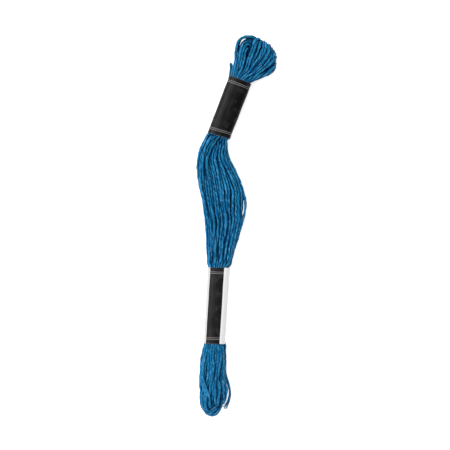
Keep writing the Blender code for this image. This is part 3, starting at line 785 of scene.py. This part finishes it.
def wrapped_paper(name, node, band, slots, materials, random):
    """A strip of paper wrapped once round the floss, with its end glued over its start below."""
    tree, points = node_tree(node), node_points(node)
    angle = np.linspace(-np.pi, np.pi, 240, endpoint=False)

    def at_angles(ring, wanted):
        return np.stack([np.interp(wanted, angle, ring[:, k], period=2 * np.pi) for k in range(3)], axis=1)

    edges, ways = [], []
    for end, inwards in ((band.foot, 0.15), (band.top, -0.15)):
        ring = points[np.abs((points - end) @ band.along) < 1.0]
        side = ring @ band.across
        row = ring[side.argmax()] - ring[side.argmin()]
        row[2] = 0
        row /= np.linalg.norm(row)
        way = np.cos(angle)[:, None] * row + np.sin(angle)[:, None] * UP
        inside = end + band.along * inwards
        far = blurred(np.array([cast(tree, inside, w) for w in way]), 1.5)
        edges.append(end + way * far[:, None])
        ways.append(way)

    # Round the band: s is millimetres from the middle of its top, and the strip starts below.
    middle = (edges[0] + edges[1]) / 2 + ways[0] * PAPER_OVER_INSIDE
    below = np.flatnonzero(angle < 0)
    x = (middle[below] - band.middle) @ band.across
    start, stop = (np.interp(share * band.half_width, x, angle[below]) for share in FLAP_REACH)
    turns = np.linspace(start, stop + 2 * np.pi, 900)
    s = travelled(at_angles(middle, turns))
    once = np.interp(start + 2 * np.pi, turns, s)
    columns = int(s[-1] / PAPER_STEP[0])
    along = np.linalg.norm(band.top - band.foot)
    rows = int(along / PAPER_STEP[1])
    at = np.linspace(0, s[-1], columns)
    phi = np.interp(at, s, turns)[None, :]
    t = np.linspace(0, 1, rows)[:, None]
    top = np.interp(np.pi / 2, turns, s)

    # The printed side's distance from the source's inner wall
    drift = 0.03 * wave(1.3 * t + random.random())
    relief = 0.25 * np.interp(phi + drift, angle, round_slots(slots, angle), period=2 * np.pi)
    corners = np.sort(random.uniform(-np.pi, np.pi, 12))
    drift = 0.06 * wave(0.6 * t + random.random())
    relief = relief + np.interp(phi + drift, corners, random.normal(size=12) * 0.09, period=2 * np.pi)
    for _ in range(PAPER_WAVES):
        length, heading, phase = random.uniform(4, 11), random.uniform(0, np.pi), random.random()
        relief = relief + 0.012 * wave((at * np.cos(heading) + t * along * np.sin(heading)) / length + phase)
    for _ in range(PAPER_CREASES):
        place, heading = random.random(2) * (once, along), random.normal() * 0.5
        across = (at - place[0]) * np.cos(heading) + (t * along - place[1]) * np.sin(heading)
        aside = (t * along - place[1]) * np.cos(heading) - (at - place[0]) * np.sin(heading)
        relief = relief - random.uniform(0.02, 0.05) * np.exp(-np.abs(aside) / 0.25 - (across / 2.5) ** 4)
    near_edge = np.minimum(t, 1 - t) * along
    relief = relief + 0.09 * np.exp(-near_edge / 0.5) * (1 + 0.5 * np.sin(at * 1.3 + random.random() * 6))
    under = smoothstep(0.2, 0.8, -np.sin(phi))
    over = smoothstep(once - 1.4, once - 0.2, at)[None, :]
    beside = (0.15 + 0.2 * np.maximum(np.cos(phi), 0)) * np.abs(np.cos(phi)) ** 3
    out = PAPER_OVER_INSIDE + beside + 0.08 * under * (1 - over) + 0.22 * over + relief * (1 - 0.7 * under)

    def from_foot_to_top(rings):
        foot, top = (at_angles(ring, phi[0])[None] for ring in rings)
        return foot * (1 - t[..., None]) + top * t[..., None]

    base, way = from_foot_to_top(edges), from_foot_to_top(ways)
    sides = [base + way * (out - depth)[..., None] for depth in (0.0, PAPER)]
    grid = np.arange(rows * columns).reshape(rows, columns)
    inner = grid + rows * columns

    def quads(a, b, c, d):
        return np.stack([a, b, c, d], axis=-1).reshape(-1, 4)

    printed = quads(grid[:-1, :-1], grid[:-1, 1:], grid[1:, 1:], grid[1:, :-1])
    bare = [quads(inner[1:, :-1], inner[1:, 1:], inner[:-1, 1:], inner[:-1, :-1])]
    for k, a, b in ((0, grid, inner), (-1, inner, grid)):
        bare.append(quads(b[k, :-1], b[k, 1:], a[k, 1:], a[k, :-1]))
        bare.append(quads(a[:-1, k], a[1:, k], b[1:, k], b[:-1, k]))
    faces = np.vstack([printed, *bare])
    mesh = bpy.data.meshes.new(name)
    mesh.from_pydata(np.vstack([side.reshape(-1, 3) for side in sides]) * MM, [], faces.tolist())
    mesh.polygons.foreach_set("material_index", (np.arange(len(faces)) >= len(printed)).astype(int))
    mesh.shade_smooth()
    mesh.set_sharp_from_angle(angle=math.radians(50))
    place = np.stack(np.broadcast_arrays(top - at[None, :], t * along), axis=-1).reshape(-1, 2)
    uv = mesh.uv_layers.new(name="UVMap")
    uv.data.foreach_set("uv", np.vstack([place, place])[faces.ravel()].ravel())
    set_points(mesh, "ridge", np.tile((relief / 0.12 + 0.5).ravel(), 2))
    for material in materials:
        mesh.materials.append(material)
    return add_object(name, mesh)


# ---------------------------------------------------------------- camera, light, floor

def make_stage():
    pixel = PIXEL * MM
    data = bpy.data.cameras.new("camera")
    data.lens, data.sensor_width = 150, 36
    distance = PICTURE * pixel * data.lens / data.sensor_width
    camera = add_object("camera", data)
    camera.location = (PICTURE_MIDDLE[0] * pixel, PICTURE_MIDDLE[1] * pixel, distance + 2.5 * MM)
    bpy.context.scene.camera = camera

    mesh = bpy.data.meshes.new("floor")
    mesh.from_pydata([(x, y, -0.0001) for x, y in ((-3, -3), (3, -3), (3, 3), (-3, 3))], [], [(0, 1, 2, 3)])
    floor = add_object("floor", mesh)
    material = bpy.data.materials.new("floor")
    material.use_nodes = True
    shader = material.node_tree.nodes["Principled BSDF"]
    for name, value in (("Base Color", (0.8, 0.8, 0.8, 1)), ("Roughness", 0.9),
                        ("Emission Color", (1, 1, 1, 1)), ("Emission Strength", 0.6)):
        shader.inputs[name].default_value = value
    mesh.materials.append(material)

    world = bpy.data.worlds.new("world")
    world.use_nodes = True
    nodes, links = world.node_tree.nodes, world.node_tree.links
    split, fade = nodes.new("ShaderNodeSeparateXYZ"), nodes.new("ShaderNodeMapRange")
    links.new(nodes.new("ShaderNodeTexCoord").outputs["Generated"], split.inputs[0])
    links.new(split.outputs[0], fade.inputs["Value"])
    for name, value in (("From Min", -0.8), ("From Max", 0.8), ("To Min", 0.95), ("To Max", 0.70)):
        fade.inputs[name].default_value = value
    nodes["Background"].inputs["Color"].default_value = (1, 1, 1, 1)
    links.new(fade.outputs["Result"], nodes["Background"].inputs["Strength"])
    bpy.context.scene.world = world

    light = bpy.data.lights.new("key", "AREA")
    light.shape, light.size, light.energy = "DISK", 0.7, 8.0
    lamp = add_object("key", light)
    lamp.location = (-0.55, 0.30, 0.65)
    lamp.rotation_mode = "QUATERNION"
    lamp.rotation_quaternion = (-lamp.location).to_track_quat("-Z", "Y")
    lamp.visible_camera = False
    bpy.context.scene.view_settings.view_transform = "Standard"


# ---------------------------------------------------------------- materials

class Nodes:
    """Short names for the nodes of one material."""

    def __init__(self, name):
        self.material = bpy.data.materials.new(name)
        self.material.use_nodes = True
        self.tree = self.material.node_tree
        self.shader = self.tree.nodes["Principled BSDF"]

    def put(self, socket, value):
        if isinstance(value, bpy.types.NodeSocket):
            self.tree.links.new(value, socket)
        else:
            socket.default_value = value

    def node(self, kind, inputs, **settings):
        """The outputs of a new node. inputs are by name or number."""
        node = self.tree.nodes.new("ShaderNode" + kind)
        for name, value in settings.items():
            setattr(node, name, value)
        for socket, value in inputs.items():
            self.put(node.inputs[socket], value)
        return node.outputs

    def math(self, operation, *values):
        return self.node("Math", dict(enumerate(values)), operation=operation)[0]

    def times(self, a, b):
        return self.math("MULTIPLY", a, b)

    def without(self, share):
        return self.math("SUBTRACT", 1.0, share)

    def ridges(self, place):
        """0 at whole numbers of place, and 1 halfway between them."""
        return self.math("ABSOLUTE", self.math("SINE", self.times(place, math.pi)))

    def ramp(self, value, low, high):
        """0 below low, 1 above high and smooth between them."""
        inputs = {"Value": value, "From Min": low, "From Max": high}
        return self.node("MapRange", inputs, interpolation_type="SMOOTHSTEP")["Result"]

    def mix(self, share, a, b):
        return self.node("Mix", {0: share, 6: a, 7: b}, data_type="RGBA")[2]

    def uv(self):
        both = self.node("UVMap", {}, uv_map="UVMap")[0]
        split = self.node("SeparateXYZ", {0: both})
        return split[0], split[1]

    def attribute(self, name):
        return self.node("Attribute", {}, attribute_name=name)["Fac"]

    def noise(self, detail, *vector):
        """Noise from 0 to 1 over a vector of up to three values."""
        place = self.node("CombineXYZ", dict(enumerate(vector)))[0]
        return self.node("TexNoise", {"Vector": place, "Scale": 1.0, "Detail": detail})["Fac"]

    def bump(self, height, strength, distance):
        inputs = {"Height": height, "Strength": strength, "Distance": distance}
        self.put(self.shader.inputs["Normal"], self.node("Bump", inputs)[0])


def floss_material():
    """Mercerised cotton: six glossy plies, each of two fine strands twisted round each other."""
    n = Nodes("floss")
    along, around = n.uv()
    run = n.attribute("run")
    ply = n.times(around, float(FLOSS.plies))
    ply_number = n.times(n.math("FLOOR", ply), 5.3)
    crest = n.math("POWER", n.ridges(ply), 0.6)
    slant = n.math("ADD", n.times(along, 1 / PLY_TWIST), n.math("ADD", ply, n.times(run, 7.3)))
    strand = n.ridges(slant)

    # Along a run these vary over millimetres. The larger factors keep runs and plies apart.
    glints_and_specks = n.noise(1.5, n.times(along, 0.62), ply_number, n.times(run, 70.0))
    tone = n.noise(0.0, n.times(along, 0.10), n.times(ply_number, 1.7), n.times(run, 40.0))
    fibre = n.noise(3.0, n.times(slant, 0.6), n.times(around, 60.0), n.times(run, 50.0))
    patch = n.noise(2.0, n.times(along, 0.16), n.times(run, 90.0), n.times(around, 1.5))
    hue = n.noise(1.0, n.times(along, 0.07), n.times(run, 60.0), ply_number)

    # From the bottom of the grooves up: where each colour lies over the last, how much of it, and it
    # Painted shade: the floss is darkest at the bottom of the grooves between the plies, and lighter on their
    # crests and on the crests of their fine strands.
    colour = (0.0002, 0.009, 0.045, 1)
    for where, share, over in (
        (n.ramp(crest, 0.1, 0.9), 1.0, (0.0020, 0.052, 0.150)),
        (n.ramp(strand, 0.15, 0.95), 0.85, (0.0060, 0.148, 0.330)),
        (n.ramp(tone, 0.45, 0.70), 0.68, (0.0250, 0.228, 0.440)),
        (n.ramp(tone, 0.52, 0.32), 0.50, (0.0010, 0.038, 0.105)),
        # Painted highlights: pale glints where this noise is high, and dark specks of random tone where it is
        # low.
        (n.ramp(glints_and_specks, 0.50, 0.68), 0.70, (0.090, 0.345, 0.565)),
        (n.ramp(glints_and_specks, 0.46, 0.32), 0.60, (0.0004, 0.020, 0.085)),
        (n.ramp(fibre, 0.35, 0.75), 0.30, (0.012, 0.180, 0.370)),
        (n.ramp(patch, 0.45, 0.75), 0.30, (0.0020, 0.050, 0.115)),
        (n.ramp(hue, 0.48, 0.66), 0.35, (0.004, 0.165, 0.255)),
        (n.ramp(hue, 0.52, 0.34), 0.30, (0.006, 0.105, 0.330)),
        (n.attribute("teal"), 0.50, (0.003, 0.090, 0.115)),
        # Painted shade: crowded and sunken places turn dark navy.
        (n.ramp(n.attribute("painted_shade"), 0.08, 0.60), 0.92, (0.0001, 0.008, 0.046)),
    ):
        colour = n.mix(n.times(where, share), colour, (*over, 1))
    n.put(n.shader.inputs["Base Color"], colour)
    n.put(n.shader.inputs["Roughness"], n.math("MULTIPLY_ADD", fibre, 0.25, 0.30))
    n.shader.inputs["Specular IOR Level"].default_value = 0.30
    n.shader.inputs["Specular Tint"].default_value = (0.05, 0.50, 1.0, 1)
    height = n.math("ADD", n.times(strand, 0.6), n.times(fibre, 0.35))
    n.bump(n.times(height, crest), 0.9, 0.00008)
    return n.material


def paper_material(name, length, sheen, stripe):
    """Thin coated paper with black print: all over, or on a stripe along the top."""
    n = Nodes(name)
    round_it, along = n.uv()
    fine = n.noise(4.0, n.times(round_it, 2.2), n.times(along, 2.2))
    broad = n.noise(3.0, n.times(round_it, 0.45), n.times(along, 0.3), 4.0)
    from_end = n.math("MINIMUM", along, n.math("SUBTRACT", length, along))

    # Painted light and shade against the key light: the white paper is darker on the band's left, which the
    # key light strikes, and lighter on its right, with a fine mottle of random tone over it.
    counter_shade_and_mottle = n.math("ADD", n.ramp(round_it, -5.0, 5.0), n.math("MULTIPLY_ADD", fine, 0.5, -0.25))
    paper = n.mix(counter_shade_and_mottle, (0.43, 0.425, 0.43, 1), (0.73, 0.725, 0.735, 1))
    ink = n.mix(n.ramp(broad, 0.3, 0.7), (0.004, 0.0035, 0.004, 1), (0.009, 0.008, 0.0085, 1))
    # Painted reflection and shade: the ink is lighter at the band's left, where it would catch the key light,
    # and darkest towards its right.
    ink = n.mix(n.ramp(round_it, -2.5, 4.0), ink, (0.0012, 0.0008, 0.0010, 1))
    rubbed = n.times(n.ramp(broad, 0.45, 0.7), n.ramp(n.attribute("ridge"), 0.45, 1.0))
    rubbed = n.times(rubbed, n.ramp(fine, 0.35, 0.65))
    edge = n.without(n.ramp(n.math("ADD", from_end, n.times(fine, 0.2)), 0.1, 0.35))
    rubbed = n.math("MAXIMUM", n.times(rubbed, 0.3), n.times(edge, 0.7))
    ink = n.mix(rubbed, ink, (0.085, 0.080, 0.083, 1))
    line = 0.0
    for place in LINES:
        away = n.math("ABSOLUTE", n.math("SUBTRACT", from_end, place))
        line = n.math("MAXIMUM", n.without(n.ramp(away, 0.07, 0.14)), line)
    ink = n.mix(n.times(line, n.math("MULTIPLY_ADD", fine, 0.4, 0.35)), ink, (0.30, 0.29, 0.30, 1))
    printed = 1.0
    if stripe:
        wobble = n.math("MULTIPLY_ADD", fine, 0.08, round_it)
        left, right = (n.ramp(wobble, side, side + 0.08) for side in stripe)
        printed = n.times(left, n.without(right))
    n.put(n.shader.inputs["Base Color"], n.mix(printed, paper, ink))
    n.put(n.shader.inputs["Roughness"], n.math("MULTIPLY_ADD", fine, 0.2, 0.28))
    n.shader.inputs["Specular IOR Level"].default_value = sheen
    n.bump(n.math("ADD", fine, n.times(broad, 0.6)), 0.35, 0.00004)
    return n.material


def bare_paper_material():
    """The paper's unprinted inside and its cut edges."""
    n = Nodes("bare_paper")
    round_it, along = n.uv()
    fibre = n.noise(5.0, n.times(round_it, 4.0), n.times(along, 4.0))
    n.put(n.shader.inputs["Base Color"], n.mix(fibre, (0.42, 0.40, 0.38, 1), (0.66, 0.64, 0.61, 1)))
    n.put(n.shader.inputs["Roughness"], n.math("MULTIPLY_ADD", fibre, 0.2, 0.65))
    n.bump(fibre, 0.5, 0.00005)
    return n.material


def finish(obj, material, slot, *nodes):
    if material:
        obj.data.materials.append(material)
    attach(obj, "root")
    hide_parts(*nodes)


def main():
    random = np.random.default_rng(SEED)
    make_stage()
    floss = floss_material()
    rows = runs_in_belly()
    slots_low = pack_slots(lower_band, rows)
    slots_high = pack_slots(upper_band, rows)
    top = int(rows[:, 1].searchsorted(2))
    crossed = [top + k for k in UNDER_BUNCH + BUNCH]
    slots_high[[top + k for k in BUNCH + UNDER_BUNCH]] = slots_high[crossed]
    low_middles = np.array([lower_band.place(lower_band.middle, s) for s in slots_low])
    high_middles = np.array([upper_band.place(upper_band.middle, s) for s in slots_high])

    # The loose end, a cord, comes first.
    tail, tail_wants = tail_loops()
    tail_slots = assign([*tail_wants, LOOSE_END_SLOT], slots_low)
    start = lower_band.place(lower_band.foot + lower_band.along * CUT_END_IN_BAND, slots_low[tail_slots[-1]])
    route = smooth_path([start, *LOOSE_END], LOOSE_END_POINTS)
    tube = route[:-PAST_TUBE]
    cord = yarn_tubes("loose_end_floss", tube[None], FLOSS._replace(wide=1.0, flat=0.95), random)
    finish(cord, floss, "floss", "loose_end")
    least, more, power = LOOSE_END_SPREAD
    spread = least + more * np.linspace(0, 1, FRAY_POINTS) ** power
    fray = cut_end("loose_end_plies", route[-FRAY_POINTS:], random, spread, PLY)
    finish(fray, floss, "floss", "loose_end")
    length = travelled(route)[-1]

    belly = lay_belly(rows, slots_low, slots_high, random)
    belly = drawn_runs(belly, low_middles, high_middles)
    size = bloom(belly)
    for layer, name in enumerate(("belly_under", "belly_inside", "belly_over")):
        chosen = rows[:, 1] == layer
        runs = yarn_tubes(
            name, belly[chosen], FLOSS, random, size[chosen], every_second(belly), dim=1.2, shadow_from_above=0.08)
        finish(runs, floss, "floss", "floss_skein")

    head, head_wants = head_loops(random)
    head_slots = assign([*head_wants, SHORT_END_SLOT], slots_high)
    pairs = head_slots[:-1].reshape(-1, 2)
    order = np.arange(len(head))[:, None]
    loops = lay_loops(
        head, slots_high, pairs, upper_band, upper_band.top, upper_band.along,
        Outline(HEAD_CENTRE, HEAD_SPARE), np.where(order < CALM_ARCS, *HEAD_WANDER), random)
    loops = drawn_runs(loops, high_middles[pairs[:, 0]], high_middles[pairs[:, 1]])
    rim = FAN_RIM[0] + FAN_RIM[1] * hump(np.linspace(0, 1, loops.shape[1]), 0.5, FAN_RIM[2])
    size = bloom(loops) * np.where(order < len(HEAD_ARCS), 1.0, rim)
    teal = smoothstep(*TEAL_ABOVE, loops[..., 1]) * (order == 0)
    runs = yarn_tubes("head_loops", loops, FLOSS, random, size, every_second(loops), teal, shadow_from_above=0.55)
    finish(runs, floss, "floss", "floss_skein")

    pairs = tail_slots[:-1].reshape(-1, 2)
    loops = lay_loops(
        tail, slots_low, pairs, lower_band, lower_band.foot, -lower_band.along,
        Outline(TAIL_CENTRE, TAIL_SPARE), TAIL_WANDER, random)
    loops = drawn_runs(loops, low_middles[pairs[:, 0]], low_middles[pairs[:, 1]])
    runs = yarn_tubes(
        "tail_loops", loops, FLOSS, random, bloom(loops), every_second(loops), dim=0.62, shadow_from_above=0.25)
    finish(runs, floss, "floss", "floss_skein")

    start = upper_band.place(upper_band.top - upper_band.along * CUT_END_IN_BAND, slots_high[head_slots[-1]])
    route = smooth_path([start, *SHORT_END], SHORT_END_POINTS)
    spread = np.interp(np.linspace(0, 1, SHORT_END_POINTS), *SHORT_END_SPREAD)
    runs = cut_end("short_end_plies", route, random, spread, PLY._replace(radius=0.27), teal=1.0)
    finish(runs, floss, "floss", "short_end")

    bare = bare_paper_material()
    for name, node, band, slots, slot, sheen, stripe in (
        ("upper_band_paper", "upper_band", upper_band, slots_high, "black_paper", 0.09, None),
        ("lower_band_paper", "lower_band", lower_band, slots_low, "white_paper", 0.14, STRIPE),
    ):
        length = float(np.linalg.norm(band.top - band.foot))
        printed = paper_material(slot, length, sheen, stripe)
        paper = wrapped_paper(name, node, band, slots, [printed, bare], random)
        finish(paper, None, slot, node)


main()
